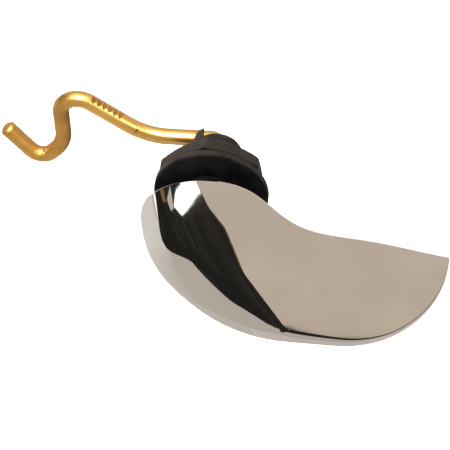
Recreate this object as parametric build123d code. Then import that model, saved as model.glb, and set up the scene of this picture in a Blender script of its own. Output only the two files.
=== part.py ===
from build123d import *
import os
from math import cos, radians, sin, sqrt

# Cistern lever: a rolled paddle handle turns in a flanged bushing that a nut clamps to the cistern wall,
# and a bent brass arm on the end of its spindle lifts the flush valve.
# Frame: +Y is the spindle's axis and points into the cistern, +Z is up, +X points along the paddle.
# The origin is on the axis, on the back face of the flange, which seats on the cistern wall.
# All sizes are in millimetres and all angles in degrees.

# Bushing: flange, shank and stop prongs
flange_diameter = 33.8
flange_thickness = 2.7
flange_edge_chamfer = 0.7
collar_diameter = 17.0
shank_diameter = 15.4
shank_length = 16.3
shank_lead_in = 0.7
prong_overlap = 0.8
prong_width = 3.0
stop_clearance = 0.3
lever_travel = 30.0

# Spindle and its fit in the bushing
spindle_diameter = 9.0
running_clearance = 0.05
end_float = 0.2
spindle_recess = 1.3
socket_depth = 11.0

# Clamp washer and lock nut, which lie inside the flange's outline by their margins
washer_margin = 1.4
washer_thickness = 1.2
thread_clearance = 0.15
nut_flat_step = 1.5
nut_height = 5.8
nut_margin = 0.9
nut_skirt_height = 1.5
nut_skirt_taper = 1.0
nut_chamfer_height = 2.4
nut_face_step = 1.1
nut_turn = -8.0
hexagon_sides = 6

# Lift arm: a round rod, bent in one upright plane behind the shank, given run by run and bend by bend
rod_diameter = 5.0
rod_end_chamfer = 0.7
arm_standoff = 2.2
arm_dip = 1.6
spindle_bend_radius = 2.8
level_length = 12.8
knee_radius = 20.0
knee_turn = 37.6
rise_length = 13.8
hump_radius = 5.8
hump_turn = 126.0
fall_length = 8.3
sway_radius = 12.0
sway_turn = 43.0
sway_length = 1.9
hook_radius = 4.3
hook_turn = 100.6
hook_length = 11.3
notch_count = 6
notch_pitch = 1.9
notch_depth = 0.35
notch_width = 1.0
notch_offset = 4.0

# Paddle: a flat top that leans forward and rolls off towards the hub's side and front
paddle_tilt = 21.0
hub_back = 5.4
hub_top = 10.2
hub_reach = 21.0
hub_depth = 17.0
paddle_reach = 69.0
paddle_width = 44.4
belly_offset = 40.0
tip_back = 17.6
waist_offset = 25.2
waist_depth = 11.1
waist_rim_depth = 7.5
belly_rim_depth = 5.1
tip_rim_depth = 3.0
wall = 2.2
boss_diameter = 14.5
boss_length = 13.0
roll_start = 1.0
roll_end = 28.5
roll_steepness = 0.9
roll_overhang = 2.5
front_edge_radius = 1.8
roll_stations = (-0.3, 0, 0.2, 0.4, 0.6, 0.8, 1)

# Where the paddle's outline bends between its key points, as shares of the way along x and along y
shoulder_share = (0.19, 0.617)
front_share = (0.57, 0.921)
back_share = (0.44, 0.51)
waist_share = (0.4, 0.2)
hub_blend_share = 0.1
# How steeply the outline's back leaves the tip and meets the hub, and the rim runs out at the tip
tip_slope = 0.12
hub_slope = 0.08
rim_slope = 0.03

# Places worked out from the sizes above
shank_radius = shank_diameter / 2
spindle_radius = spindle_diameter / 2
rod_radius = rod_diameter / 2
bushing_bore = spindle_radius + running_clearance
collar_front = -hub_back + end_float
arm_front = shank_length + arm_standoff
arm_plane = arm_front + rod_radius
spindle_end = shank_length - spindle_recess
washer_diameter = flange_diameter - 2 * washer_margin
nut_skirt_diameter = flange_diameter - 2 * nut_margin
nut_across_flats = nut_skirt_diameter - 2 * nut_flat_step
nut_face_diameter = nut_across_flats - 2 * nut_face_step
nut_front = washer_thickness
nut_back = nut_front + nut_height

# The paddle's own frame: x along the blade, y up its slope towards the cistern, z out of its top face
paddle_plane = Plane(
    origin=(0, -hub_back, hub_top),
    x_dir=(1, 0, 0),
    z_dir=(0, -sin(radians(paddle_tilt)), cos(radians(paddle_tilt))),
)
# An edge that climbs faster than this is an upright corner of the paddle, not part of its rim
steepest_rim = 0.9
# Points closer than this count as the same
fit_tolerance = 0.001
# Far enough to clear the whole paddle in any direction
clear = 2 * (paddle_reach + hub_reach)


def turned(*points):
    """Revolve a profile of (radius, y) points about the spindle's axis."""
    return revolve(make_face(Polyline(*points, close=True)), axis=Axis.Y)


def along_axis(radius, start, end):
    """A round bar on the spindle's axis, from one y to another."""
    return Plane(origin=(0, start, 0), z_dir=(0, 1, 0)) * extrude(Circle(radius), amount=end - start)


def behind(y):
    """Everything further into the cistern than y."""
    return Pos(0, y + clear / 2, 0) * Box(2 * clear, clear, 2 * clear)


def between(start, end, share):
    """The point at a share of the way along x and of the way along y from start to end."""
    return (
        start[0] + share[0] * (end[0] - start[0]),
        start[1] + share[1] * (end[1] - start[1]),
    )


def paddle_outline(inset):
    """The curves of the paddle's outline, seen square to its top face and drawn in by an inset: the full
    front belly, the round tip, the hollow back and the open lines behind the hub."""
    hub_side = (-hub_reach + inset, 0)
    belly = (belly_offset, -paddle_width + inset)
    tip = (paddle_reach - inset, -tip_back - inset)
    waist = (waist_offset, -waist_depth - inset)
    hub_blend = (hub_blend_share * waist_offset, -inset)
    shoulder = between(hub_side, belly, shoulder_share)
    front_mid = between(hub_side, belly, front_share)
    back_mid = between(waist, tip, back_share)
    waist_start = between(hub_blend, waist, waist_share)
    front = Spline(hub_side, shoulder, front_mid, belly, tangents=[(0, -1), (1, 0)])
    round_tip = EllipticalCenterArc(
        (belly[0], tip[1]),
        tip[0] - belly[0],
        tip[1] - belly[1],
        start_angle=270,
        arc_size=90,
    )
    back_ends = [(-1, tip_slope), (-1, hub_slope)]
    back = Spline(tip, back_mid, waist, waist_start, hub_blend, tangents=back_ends)
    hub = Polyline(hub_blend, (0, hub_depth), (hub_side[0], hub_depth), hub_side)
    return front, round_tip, back, hub


def reach_left(plan, start):
    """How far the plan reaches from a point towards the hub's side."""
    ray = Edge.make_line(start, (start[0] - clear, start[1]))
    hits = [hit for edge in plan.edges() for hit in ray.find_intersection_points(edge)]
    return max((start[0] - hit.X for hit in hits), default=0)


def rolled_block(plan, inset):
    """A deep block with a flat top that rolls off towards the hub's side and front.

    Each section across the blade ends in a quarter ellipse, almost as deep as it is wide. Its flat gives way
    further along the blade the nearer the section is to the front edge, so the ellipse shrinks towards it.
    """
    front = -paddle_width - roll_overhang
    sections = []
    for share in roll_stations:
        y = share * front
        flat_end = -roll_start + share * (roll_start + roll_end)
        width = reach_left(plan, (flat_end, y)) + roll_overhang
        drop = roll_steepness * width
        arc = EllipticalCenterArc((flat_end, -drop), width, drop, start_angle=180, arc_size=-90)
        left = flat_end - width
        sides = Polyline((flat_end, 0), (clear, 0), (clear, -clear), (left, -clear), (left, -drop))
        section_plane = Plane(origin=(0, y, -inset), x_dir=(1, 0, 0), z_dir=(0, -1, 0))
        sections.append(section_plane * make_face([arc, sides]))
    return loft(sections)


def underside_cut():
    """Everything below the paddle's rim: deep round the hub, shallow along the blade."""
    rim = Spline(
        (0, -hub_depth),
        (waist_offset, -waist_rim_depth),
        (belly_offset, -belly_rim_depth),
        (paddle_reach, -tip_rim_depth),
        tangents=[(1, 0), (1, rim_slope)],
    )
    outside = Polyline(
        (paddle_reach, -tip_rim_depth),
        (clear, -tip_rim_depth),
        (clear, -clear),
        (-clear, -clear),
        (-clear, -hub_depth),
        (0, -hub_depth),
    )
    section_plane = Plane(origin=(0, clear, 0), x_dir=(1, 0, 0), z_dir=(0, -1, 0))
    return extrude(section_plane * make_face([rim, outside]), amount=2 * clear)


def paddle_form(inset):
    """The paddle's rolled form, drawn in by a wall thickness all round and open-ended below."""
    plan = make_face(paddle_outline(inset))
    walls = extrude(plan, amount=-2 * hub_depth) + extrude(plan, amount=hub_depth)
    return walls & rolled_block(plan, inset)


def upper_edges(form, curves):
    """The edges of the paddle's top that lie over the given curves of its outline."""
    found = []
    for edge in form.edges():
        middle = edge @ 0.5
        foot = Vertex(middle.X, middle.Y, 0)
        level = abs((edge % 0.5).Z) < steepest_rim and middle.Z > -hub_depth
        if level and min(curve.distance_to(foot) for curve in curves) < fit_tolerance:
            found.append(edge)
    return found


def handle():
    """The die-cast paddle, hollow underneath but for its hub boss, with the spindle behind it."""
    front, round_tip, *_ = paddle_outline(0)
    form = paddle_form(0)
    form = form.fillet(front_edge_radius, upper_edges(form, [front, round_tip]))
    outside = paddle_plane * (form - underside_cut()) - behind(-hub_back)
    hollow = paddle_plane * paddle_form(wall) - behind(-hub_back - wall)
    boss = along_axis(boss_diameter / 2, -hub_back - boss_length, -hub_back)
    spindle = along_axis(spindle_radius, -hub_back - boss_length / 2, spindle_end)
    socket = along_axis(rod_radius, spindle_end - socket_depth, spindle_end)
    return outside - (hollow - boss) + spindle - socket


def stop_prong():
    """The prong that meets the arm's upper side: a piece of the shank's wall, carried past its end."""
    root = shank_length - shank_lead_in
    end = arm_front + prong_overlap
    arm_half_height = sqrt(rod_radius**2 - (rod_radius - prong_overlap) ** 2)
    face = arm_half_height + stop_clearance
    left = -sqrt(shank_radius**2 - face**2)
    ring = along_axis(shank_radius, root, end) - along_axis(bushing_bore, root, end)
    keep = Pos(left + prong_width - clear / 2, 0, face + clear / 2) * Box(clear, clear, clear)
    return ring & keep


def bushing():
    """The moulded bushing: a thrust collar, a round flange, the shank and the two stop prongs on its end."""
    flange_front = -flange_thickness
    flange_radius = flange_diameter / 2
    body = turned(
        (bushing_bore, collar_front),
        (collar_diameter / 2, collar_front),
        (collar_diameter / 2, flange_front),
        (flange_radius - flange_edge_chamfer, flange_front),
        (flange_radius, flange_front + flange_edge_chamfer),
        (flange_radius, 0),
        (shank_radius, 0),
        (shank_radius, shank_length - shank_lead_in),
        (shank_radius - shank_lead_in / 2, shank_length),
        (bushing_bore, shank_length),
    )
    upper = stop_prong()
    lower = mirror(upper, about=Plane.XY).rotate(Axis.Y, -lever_travel)
    return body + upper + lower


def clamp_washer():
    """The flat washer that spreads the nut's grip over the cistern wall."""
    disc = along_axis(washer_diameter / 2, 0, washer_thickness)
    return disc - along_axis(shank_radius + thread_clearance, 0, washer_thickness)


def lock_nut():
    """The hexagon nut: a tapered skirt at its front and a turned chamfer round its back."""
    skirt_back = nut_front + nut_skirt_height
    corner_radius = nut_across_flats / (2 * cos(radians(180 / hexagon_sides)))
    hexagon = RegularPolygon(nut_across_flats / 2, hexagon_sides, major_radius=False, rotation=nut_turn)
    seat = Plane(origin=(0, nut_front, 0), x_dir=(0, 0, 1), z_dir=(0, 1, 0))
    prism = seat * extrude(hexagon, amount=nut_height)
    envelope = turned(
        (0, nut_front),
        (corner_radius, nut_front),
        (corner_radius, nut_back - nut_chamfer_height),
        (nut_face_diameter / 2, nut_back),
        (0, nut_back),
    )
    skirt = turned(
        (0, nut_front),
        (nut_skirt_diameter / 2, nut_front),
        (nut_skirt_diameter / 2 - nut_skirt_taper, skirt_back),
        (0, skirt_back),
    )
    return (prism & envelope) + skirt - along_axis(shank_radius + thread_clearance, nut_front, nut_back)


def arm_path():
    """The rod's middle line, out of the spindle, past the knee and over the hump to the hook, with its
    straight runs by name."""
    socket_end = (0, spindle_end - socket_depth, 0)
    bend_start = (0, arm_plane - spindle_bend_radius, 0)
    edges = [
        Line(socket_end, bend_start),
        JernArc(bend_start, (0, 1, 0), spindle_bend_radius, 90),
    ]
    upright = Plane(origin=(0, arm_plane, 0), x_dir=(-1, 0, 0), z_dir=(0, 1, 0))
    bends = {
        "level": (level_length, knee_radius, knee_turn),
        "rise": (rise_length, hump_radius, -hump_turn),
        "fall": (fall_length, sway_radius, sway_turn),
        "sway": (sway_length, hook_radius, hook_turn),
    }
    runs = {}
    place = Vector(spindle_bend_radius, 0)
    heading = Vector(1, 0)
    for name, (run, radius, turn) in bends.items():
        line = Line(place, place + heading * run)
        arc = JernArc(line @ 1, heading, radius, turn)
        runs[name] = upright * line
        edges += [runs[name], upright * arc]
        place = arc @ 1
        heading = arc % 1
    edges.append(upright * Line(place, place + heading * hook_length))
    return Wire(edges), runs


def grip_notches(rise):
    """The row of shallow grooves across the top of the rising run."""
    along = rise % 0
    outward = Vector(along.Z, 0, -along.X)
    groove = Cylinder(notch_width / 2, rod_diameter, rotation=(90, 0, 0))
    notches = []
    for index in range(notch_count):
        foot = rise @ 0 + along * (notch_offset + index * notch_pitch)
        notches.append(Pos(foot + outward * (rod_radius + notch_width / 2 - notch_depth)) * groove)
    return notches


def lift_arm():
    """The bent brass rod, with its grip notches and chamfered hook end, a little below level."""
    path, runs = arm_path()
    rod = sweep(Plane(origin=path @ 0, z_dir=path % 0) * Circle(rod_radius), path=path)
    hook_end = rod.faces().sort_by_distance(path @ 1)[0]
    rod = chamfer(hook_end.edges(), rod_end_chamfer)
    rod -= grip_notches(runs["rise"])
    return rod.rotate(Axis.Y, -arm_dip)


nodes = {
    "handle": handle,
    "bushing": bushing,
    "clamp_washer": clamp_washer,
    "lock_nut": lock_nut,
    "lift_arm": lift_arm,
}
os.makedirs("parts", exist_ok=True)
for name, make in nodes.items():
    export_step(make(), f"parts/{name}.step")
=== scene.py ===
"""A cistern lever: a chromed paddle on its spindle, a black bushing with its washer and nut, and a bent
brass arm, dressed round the fixed frame and set in a small studio."""

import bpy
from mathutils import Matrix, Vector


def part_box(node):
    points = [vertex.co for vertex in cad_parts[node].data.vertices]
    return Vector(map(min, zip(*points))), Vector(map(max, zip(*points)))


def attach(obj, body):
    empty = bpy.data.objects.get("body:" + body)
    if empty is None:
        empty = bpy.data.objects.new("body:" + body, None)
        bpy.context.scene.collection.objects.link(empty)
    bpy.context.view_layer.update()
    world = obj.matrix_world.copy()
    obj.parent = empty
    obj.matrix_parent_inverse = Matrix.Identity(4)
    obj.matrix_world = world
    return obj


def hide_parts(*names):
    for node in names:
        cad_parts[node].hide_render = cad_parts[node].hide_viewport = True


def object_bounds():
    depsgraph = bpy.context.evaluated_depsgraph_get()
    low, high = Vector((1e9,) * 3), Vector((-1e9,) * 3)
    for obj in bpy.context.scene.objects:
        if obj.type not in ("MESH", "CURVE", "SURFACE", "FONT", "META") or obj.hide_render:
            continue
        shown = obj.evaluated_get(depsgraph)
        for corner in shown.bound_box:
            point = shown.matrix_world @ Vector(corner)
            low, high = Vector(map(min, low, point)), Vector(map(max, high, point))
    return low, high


bl_info = {
    "name": "Cistern Lever",
    "version": (1, 0, 0),
    "blender": (4, 5, 0),
    "location": "3D View > Sidebar > Lever",
    "description": "Builds the paddle, the bushing, the washer and nut, the brass arm and a studio",
    "category": "Object",
}

import math

import bmesh
import bpy
import numpy as np
from mathutils import Matrix, Vector

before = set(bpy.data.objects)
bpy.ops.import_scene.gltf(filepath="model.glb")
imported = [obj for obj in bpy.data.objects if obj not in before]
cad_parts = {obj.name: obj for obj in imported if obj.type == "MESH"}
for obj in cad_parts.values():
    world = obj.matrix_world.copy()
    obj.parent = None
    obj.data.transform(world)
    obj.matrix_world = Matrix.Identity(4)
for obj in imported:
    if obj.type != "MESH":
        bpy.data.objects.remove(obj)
CAD_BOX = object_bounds()

MM = 0.001
# Points closer than this are one point
WELD = 2e-7
# Samples along each curve of an outline
CURVE_SAMPLES = 600
TINY = 1e-9

# Where the paddle's outline bends between its key points, as shares of the way along and across
SHOULDER_SHARE = (0.19, 0.617)
FRONT_SHARE = (0.57, 0.921)
BACK_SHARE = (0.44, 0.51)
WAIST_SHARE = (0.4, 0.2)
HUB_BLEND_SHARE = 0.1
# How each curve of the outline and the rim leaves its first point and meets its last: way and speed
FRONT_ENDS = ((0, -1.2808), (1.6189, 0))
BACK_ENDS = ((-0.9831, 0.118), (-1.1207, 0.0897))
RIM_ENDS = ((1.1565, 0), (0.909, 0.0273))


def length(name, description, default):
    """A size in metres that a user may change."""
    return bpy.props.FloatProperty(
        name=name, description=description, default=default, unit="LENGTH", precision=5
    )


def angle(name, description, degrees):
    """An angle that a user may change."""
    return bpy.props.FloatProperty(
        name=name, description=description, default=math.radians(degrees), subtype="ANGLE"
    )


def share(name, description, default):
    """A plain number that a user may change."""
    return bpy.props.FloatProperty(name=name, description=description, default=default)


def colour(name, description, default):
    """A colour that a user may change."""
    return bpy.props.FloatVectorProperty(
        name=name, description=description, default=default, size=3, subtype="COLOR", min=0, max=1
    )


class PaddleSizes(bpy.types.PropertyGroup):
    """The chromed paddle: its own x runs along the blade, q up its slope and n out of its top."""

    tilt: angle("Tilt", "How far the top leans forward", 21)
    hub_back: length("Hub back", "From the seat to the hub's back face", 5.4 * MM)
    hub_top: length("Hub top", "Height of the hub's back edge above the spindle", 10.2 * MM)
    hub_reach: length("Hub reach", "From the spindle to the hub's outer side", 21 * MM)
    hub_depth: length("Hub depth", "From the top down to the hub's rim", 17 * MM)
    reach: length("Reach", "From the spindle to the tip", 69 * MM)
    width: length("Width", "From the hub's back edge to the belly", 44.4 * MM)
    belly_offset: length("Belly offset", "Where along the blade the front is fullest", 40 * MM)
    tip_back: length("Tip back", "How far the tip's corner lies before the hub's back edge", 17.6 * MM)
    waist_offset: length("Waist offset", "Where along the blade its back is hollow", 25.2 * MM)
    waist_depth: length("Waist depth", "How far the hollow lies before the hub's back edge", 11.1 * MM)
    waist_rim: length("Waist rim", "Depth of the rim at the waist", 7.5 * MM)
    belly_rim: length("Belly rim", "Depth of the rim at the belly", 5.1 * MM)
    tip_rim: length("Tip rim", "Depth of the rim at the tip", 3 * MM)
    wall: length("Wall", "Thickness of the casting", 2.2 * MM)
    roll_start: length("Roll start", "Where the flat ends at the hub, past the spindle", 1 * MM)
    roll_end: length("Roll end", "Where the flat ends at the front", 28.5 * MM)
    roll_steepness: share("Roll steepness", "Drop of the roll for its width", 0.9)
    roll_overhang: length("Roll overhang", "How far the roll runs on past the outline", 2.5 * MM)
    front_round: length("Front edge", "Rounding of the front edge", 1.8 * MM)
    corner_round: length("Hub corner", "Rounding of the hub's outer corner, along each side", 3.4 * MM)
    tip_round: length("Tip edge", "Rounding that the front edge comes down to near the tip", 0.35 * MM)
    back_round: length("Back edge", "Rounding of the back edge", 0.45 * MM)
    inner_round: length("Inner edge", "Rounding inside the hollow", 0.8 * MM)
    boss_diameter: length("Boss", "Diameter of the boss in the hollow", 14.5 * MM)
    boss_length: length("Boss length", "Length of the boss", 13 * MM)
    spindle_diameter: length("Spindle", "Diameter of the spindle", 9 * MM)
    spindle_end: length("Spindle end", "From the seat to the spindle's end", 15 * MM)
    socket_depth: length("Socket", "How deep the arm sits in the spindle", 11 * MM)


class BushingSizes(bpy.types.PropertyGroup):
    """The moulded bushing."""

    flange_diameter: length("Flange", "Diameter of the flange", 33.8 * MM)
    flange_thickness: length("Flange thickness", "Thickness of the flange", 2.7 * MM)
    flange_round: length("Flange edge", "Rounding of the flange's front edge", 0.8 * MM)
    collar_diameter: length("Collar", "Diameter of the thrust collar", 17 * MM)
    collar_front: length("Collar front", "From the seat to the collar's front face", 5.2 * MM)
    shank_diameter: length("Shank", "Diameter over the thread", 15.4 * MM)
    shank_length: length("Shank length", "Length of the shank", 16.3 * MM)
    lead_in: length("Lead-in", "Chamfer on the shank's end", 0.7 * MM)
    bore: length("Bore", "Diameter of the bore", 9.1 * MM)
    thread_pitch: length("Thread pitch", "Distance between turns of the thread", 2 * MM)
    thread_depth: length("Thread depth", "How deep the thread is", 0.32 * MM)
    prong_width: length("Prong width", "Width of a stop prong", 3 * MM)
    prong_overlap: length("Prong overlap", "How far a prong reaches past the arm's front", 0.8 * MM)
    stop_clearance: length("Stop clearance", "Gap between a prong and the arm at rest", 0.3 * MM)
    travel: angle("Travel", "How far the lever turns", 30)


class ClampSizes(bpy.types.PropertyGroup):
    """The washer and the nut behind the cistern wall."""

    washer_diameter: length("Washer", "Diameter of the washer", 31 * MM)
    washer_thickness: length("Washer thickness", "Thickness of the washer", 1.2 * MM)
    bore: length("Bore", "Diameter of the hole through washer and nut", 15.7 * MM)
    across_flats: length("Across flats", "Size of the hexagon", 29 * MM)
    height: length("Height", "Height of the nut", 5.8 * MM)
    skirt_diameter: length("Skirt", "Diameter of the nut's skirt", 32 * MM)
    skirt_height: length("Skirt height", "Height of the skirt", 1.5 * MM)
    skirt_taper: length("Skirt taper", "How far the skirt draws in", 1 * MM)
    chamfer_height: length("Chamfer height", "Height of the turned chamfer", 2.4 * MM)
    face_diameter: length("Back face", "Diameter of the back face", 26.8 * MM)
    edge_round: length("Edge rounding", "Rounding of the nut's edges", 0.35 * MM)
    turn: angle("Turn", "How the hexagon stands", -8)


class ArmSizes(bpy.types.PropertyGroup):
    """The bent brass arm, given run by run and bend by bend."""

    diameter: length("Rod", "Diameter of the rod", 5 * MM)
    end_chamfer: length("End chamfer", "Chamfer on the hook's end", 0.7 * MM)
    plane: length("Plane", "From the seat to the middle of the rod behind the shank", 21 * MM)
    dip: angle("Dip", "How far the arm hangs below level", 1.6)
    spindle_bend: length("Spindle bend", "Bend radius behind the spindle", 2.8 * MM)
    level_run: length("Level run", "Straight run behind the spindle", 12.8 * MM)
    knee_radius: length("Knee radius", "Bend radius of the knee", 20 * MM)
    knee_turn: angle("Knee turn", "How far the knee turns", 37.6)
    rise_run: length("Rise", "Straight run up to the hump", 13.8 * MM)
    hump_radius: length("Hump radius", "Bend radius of the hump", 5.8 * MM)
    hump_turn: angle("Hump turn", "How far the hump turns", 126)
    fall_run: length("Fall", "Straight run down from the hump", 8.3 * MM)
    sway_radius: length("Sway radius", "Bend radius of the sway", 12 * MM)
    sway_turn: angle("Sway turn", "How far the sway turns", 43)
    sway_run: length("Sway", "Straight run before the hook", 1.9 * MM)
    hook_radius: length("Hook radius", "Bend radius of the hook", 4.3 * MM)
    hook_turn: angle("Hook turn", "How far the hook turns", 100.6)
    hook_run: length("Hook", "Straight run to the hook's end", 11.3 * MM)
    notch_count: bpy.props.IntProperty(name="Notches", description="Grooves across the rise", default=6)
    notch_pitch: length("Notch pitch", "Distance between grooves", 1.9 * MM)
    notch_depth: length("Notch depth", "Depth of a groove", 0.7 * MM)
    notch_width: length("Notch width", "Width of a groove", 1.25 * MM)
    notch_offset: length("Notch offset", "From the rise's start to the first groove", 4 * MM)


class Finishes(bpy.types.PropertyGroup):
    """The colours of the finishes."""

    chrome: colour("Chrome", "Plating of the paddle", (0.57, 0.54, 0.49))
    # The face's colour is painted shade: far darker than the rest of the bushing, where the hub shades it
    plastic: colour("Bushing", "Face of the moulded bushing", (0.0025, 0.0023, 0.0023))
    # The rim, shank and prongs in the moulding's tone without the painted shade
    unshaded_tone: colour("Scuffed", "Rim, shank and prongs of the bushing", (0.0138, 0.011, 0.0093))
    rubber: colour("Washer", "Rubber washer", (0.03, 0.026, 0.023))
    nut: colour("Nut", "Moulded nut", (0.0132, 0.0105, 0.0088))
    brass: colour("Brass", "Bright brass", (0.74, 0.43, 0.105))
    # Darker brass that the blotches and the hook shift towards, and that the grooves take as painted
    # shade
    brass_dark: colour("Dull brass", "Tarnish on the brass", (0.3, 0.142, 0.034))


class StudioSizes(bpy.types.PropertyGroup):
    """Camera and light."""

    azimuth: angle("Azimuth", "Where the camera stands round the lever", 6)
    elevation: angle("Elevation", "How steeply the camera looks down", 49)
    distance: length("Distance", "From the camera to the seat", 400 * MM)
    lens: share("Lens", "Focal length in millimetres", 108.8)
    aside: length("Aside", "How far the camera stands to the right", 3.882 * MM)
    below: length("Below", "How far the camera stands below the seat's line", 10.353 * MM)
    floor_gap: length("Floor gap", "From the lever's lowest point to the floor", 60 * MM)


def unit(vectors):
    """Each vector at length one."""
    return vectors / np.maximum(np.linalg.norm(vectors, axis=-1, keepdims=True), TINY)


def between(start, end, shares):
    """The point at a share of the way along and of the way across from start to end."""
    return tuple(a + s * (b - a) for a, b, s in zip(start, end, shares))


def clamped_curve(points, ends):
    """Samples of the cubic spline through points, by chord length, with a given slope at each end."""
    p = np.array(points, float)
    chords = np.linalg.norm(np.diff(p, axis=0), axis=1)
    place = np.concatenate([[0], np.cumsum(chords)])
    last = len(p) - 1
    system = np.eye(last + 1)
    right = np.zeros_like(p)
    right[0], right[last] = ends
    for i in range(1, last):
        before, after = chords[i - 1], chords[i]
        system[i, i - 1:i + 2] = after, 2 * (before + after), before
        right[i] = 3 * (after * (p[i] - p[i - 1]) / before + before * (p[i + 1] - p[i]) / after)
    slope = np.linalg.solve(system, right)
    at = np.linspace(0, place[-1], CURVE_SAMPLES)
    i = np.clip(np.searchsorted(place, at, side="right") - 1, 0, last - 1)
    chord = chords[i][:, None]
    u = (at - place[i])[:, None] / chord
    return (
        (2 * u**3 - 3 * u**2 + 1) * p[i]
        + (u**3 - 2 * u**2 + u) * chord * slope[i]
        + (3 * u**2 - 2 * u**3) * p[i + 1]
        + (u**3 - u**2) * chord * slope[i + 1]
    )


def distances(line):
    """How far along a line each of its points lies."""
    steps = np.linalg.norm(np.diff(line, axis=0), axis=1)
    return np.concatenate([[0], np.cumsum(steps)])


def along(line, shares):
    """Points of a line, and its direction there, at shares of its length."""
    place = distances(line)
    at = shares * place[-1]
    points = np.stack([np.interp(at, place, axis) for axis in line.T], -1)
    slopes = unit(np.gradient(line, place, axis=0))
    ways = np.stack([np.interp(at, place, axis) for axis in slopes.T], -1)
    return points, unit(ways)


class Skin:
    """A surface gathered patch by patch: each is a grid of points, with the normal at every point."""

    def __init__(self):
        self.points = []
        self.normals = []
        self.quads = []
        self.count = 0

    def patch(self, points, normals):
        """Add a grid of points. Its faces turn the way that its normals point."""
        rows, columns = points.shape[:2]
        index = self.count + np.arange(rows * columns).reshape(rows, columns)
        corners = [index[:-1, :-1], index[:-1, 1:], index[1:, 1:], index[1:, :-1]]
        self.quads.append(np.stack(corners, -1).reshape(-1, 4))
        self.points.append(points.reshape(-1, 3))
        self.normals.append(np.broadcast_to(normals, points.shape).reshape(-1, 3))
        self.count += rows * columns

    def piece(self, name):
        """Join the patches where they meet and make them an object with these exact normals."""
        points = np.concatenate(self.points)
        normals = unit(np.concatenate(self.normals))
        keys = np.round(points / WELD).astype(np.int64)
        _, first, shared = np.unique(keys, axis=0, return_index=True, return_inverse=True)
        shared = shared.ravel()
        faces = []
        corner_normals = []
        for quad in np.concatenate(self.quads):
            corners = [c for k, c in enumerate(quad) if shared[c] not in shared[quad[:k]]]
            if len(corners) < 3:
                continue
            ring = points[corners]
            facing = np.cross(ring[2] - ring[0], ring[-1] - ring[1])
            if facing @ normals[corners].sum(0) < 0:
                corners.reverse()
            faces.append([int(shared[c]) for c in corners])
            corner_normals.extend(normals[c] for c in corners)
        mesh = bpy.data.meshes.new(name)
        mesh.from_pydata(points[first].tolist(), [], faces)
        mesh.shade_smooth()
        mesh.normals_split_custom_set([tuple(n) for n in corner_normals])
        return linked(name, mesh)


def linked(name, mesh):
    """A new object in the scene for a mesh."""
    piece = bpy.data.objects.new(name, mesh)
    bpy.context.scene.collection.objects.link(piece)
    return piece


def round_edge(edge, top, wall, radius, steps):
    """Rows that turn from a wall to a top round the edge where they meet, with their normals."""
    cosine = np.sum(top * wall, -1, keepdims=True)
    centre = edge - radius * (top + wall) / (1 + cosine)
    shares = np.linspace(0, 1, steps)[:, None, None]
    normals = unit((1 - shares) * wall + shares * top)
    return centre + radius * normals, normals


def rows_between(first, last, steps):
    """Rows of points from a first line of points to a last one."""
    shares = np.linspace(0, 1, steps)[:, None, None]
    return (1 - shares) * first + shares * last


# Columns from the hub to the tip, and rows over the top, in the hollow, round edges and down a wall
HANDLE_COLUMNS = 190
TOP_ROWS = 56
HOLLOW_ROWS = 24
EDGE_ROWS = 9
CORNER_ROWS = 16
WALL_ROWS = 12
# Step of the slopes that are measured on the paddle's top
SLOPE_STEP = 0.04 * MM
# An edge's rounding takes up at most this share of the room between front and back
EDGE_ROOM = 0.4
# Rounds in which the hub's back line and its outer corner settle
HUB_ROUNDS = 60
CORNER_ROUNDS = 20


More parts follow.
